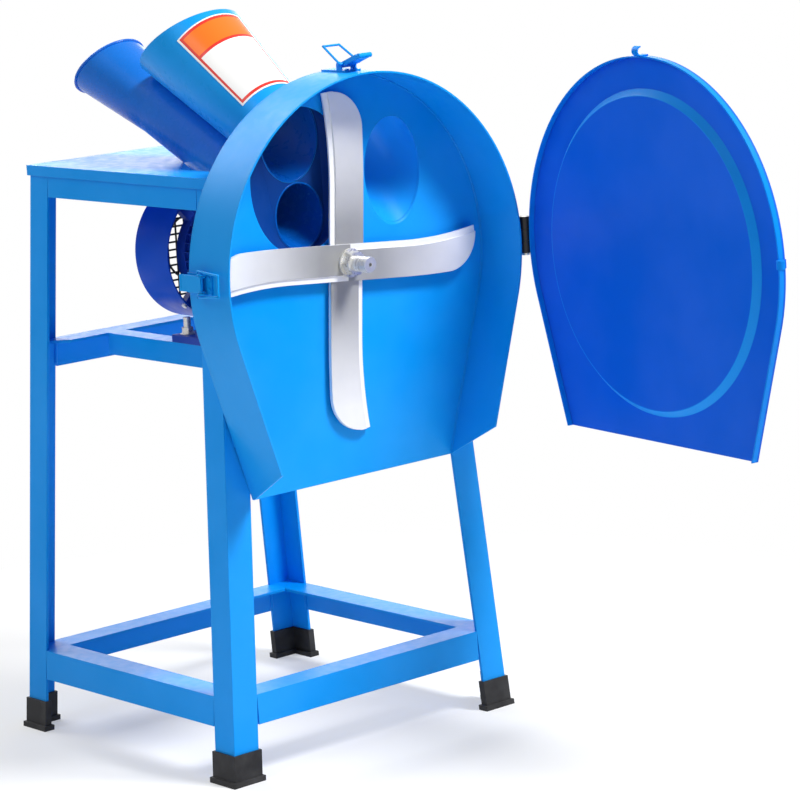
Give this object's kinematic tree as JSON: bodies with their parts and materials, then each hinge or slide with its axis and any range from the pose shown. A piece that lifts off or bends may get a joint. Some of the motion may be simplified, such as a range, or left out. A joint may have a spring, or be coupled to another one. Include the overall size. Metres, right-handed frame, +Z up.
{
  "type": "chaff shredder",
  "caption": "Chaff shredder: round cutter housing with a hinged door, crossed blades on an electric motor's shaft, rear feed chutes and an open outlet below, on a splayed angle-iron stand.",
  "frame": {"origin": "on the floor, midway between the undersides of the four rubber feet", "axes": "+Z up, -Y towards the front where the door is, +X to the right of someone facing the door, along +Y into the housing"},
  "size_m": [0.5397, 1.0528, 0.9842],
  "materials": {
    "stand_blue": "gloss powder coat",
    "foot_rubber": "matte",
    "housing_blue": "gloss powder coat",
    "deep_blue": "gloss powder coat",
    "motor_blue": "satin paint",
    "black_metal": "satin black",
    "black_plastic": "matte",
    "blade_steel": "ground",
    "zinc_steel": "zinc plated"
  },
  "bodies": {
    "stand": {"front_left_leg": "stand_blue", "front_right_leg": "stand_blue", "rear_left_leg": "stand_blue", "rear_right_leg": "stand_blue", "front_left_foot": "foot_rubber", "front_right_foot": "foot_rubber", "rear_left_foot": "foot_rubber", "rear_right_foot": "foot_rubber", "bottom_front_rail": "stand_blue", "bottom_rear_rail": "stand_blue", "bottom_left_rail": "stand_blue", "bottom_right_rail": "stand_blue", "upper_rear_rail": "stand_blue", "upper_left_rail": "stand_blue", "upper_right_rail": "stand_blue", "middle_front_rail": "stand_blue", "middle_rear_rail": "stand_blue", "motor_rail_left": "stand_blue", "motor_rail_right": "stand_blue", "table_top": "stand_blue", "housing_brackets": "stand_blue", "housing_band": "housing_blue", "back_plate": "housing_blue", "feed_throat": "housing_blue", "main_chute": "housing_blue", "long_chute": "deep_blue", "root_spout": "housing_blue", "bearing_housing": "motor_blue", "front_bearing": "blade_steel", "motor_frame": "motor_blue", "front_shield": "motor_blue", "rear_shield": "motor_blue", "motor_foot": "motor_blue", "foot_bolts": "zinc_steel", "stator_core": "blade_steel", "motor_bearings": "blade_steel", "fan_cowl": "motor_blue", "fan_guard": "black_metal", "cowl_screws": "zinc_steel", "terminal_box": "motor_blue", "terminal_cover": "motor_blue", "cable_gland": "black_plastic", "fixed_hinge_leaf": "black_metal", "hinge_pin": "zinc_steel", "latch_bases": "housing_blue", "latch_rivets": "housing_blue"},
    "rotor": {"shaft": "blade_steel", "rotor_core": "blade_steel", "cooling_fan": "black_plastic", "rear_blade_bar": "blade_steel", "front_blade_bar": "blade_steel", "blade_washer": "zinc_steel", "blade_nut": "zinc_steel"},
    "door": {"door_panel": "deep_blue", "door_hinge_leaf": "black_metal", "door_catches": "deep_blue"},
    "side_lever": {"side_lever": "housing_blue"},
    "side_bail": {"side_bail": "housing_blue"},
    "top_lever": {"top_lever_plate": "housing_blue"},
    "top_bail": {"top_bail": "housing_blue"}
  },
  "joints": [
    {"name": "rotor_spin", "type": "hinge", "parent": "stand", "child": "rotor", "pos_m": [0, -0.2, 0.652], "axis": [0, 1, 0], "continuous": true},
    {"name": "door_swing", "type": "hinge", "parent": "stand", "child": "door", "pos_m": [0.263, -0.291, 0.658], "axis": [0, 0, 1], "range_deg": [-83, 87]},
    {"name": "side_latch_lever", "type": "hinge", "parent": "stand", "child": "side_lever", "pos_m": [-0.25784, -0.253, 0.661], "axis": [0.0349, 0, 0.9994], "range_deg": [0, 160]},
    {"name": "side_latch_bail", "type": "hinge", "parent": "side_lever", "child": "side_bail", "pos_m": [-0.25784, -0.246, 0.661], "axis": [0.0349, 0, 0.9994], "range_deg": [-309, 1]},
    {"name": "top_latch_lever", "type": "hinge", "parent": "stand", "child": "top_lever", "pos_m": [0, -0.253, 0.91], "axis": [1, 0, 0], "range_deg": [-160, 0]},
    {"name": "top_latch_bail", "type": "hinge", "parent": "top_lever", "child": "top_bail", "pos_m": [0, -0.25958, 0.91239], "axis": [1, 0, 0], "range_deg": [-1, 309]}
  ],
  "couplings": [
    {"joint": "side_latch_bail", "follows": "side_latch_lever", "ratio": -1.925},
    {"joint": "top_latch_bail", "follows": "top_latch_lever", "ratio": -1.925}
  ]
}
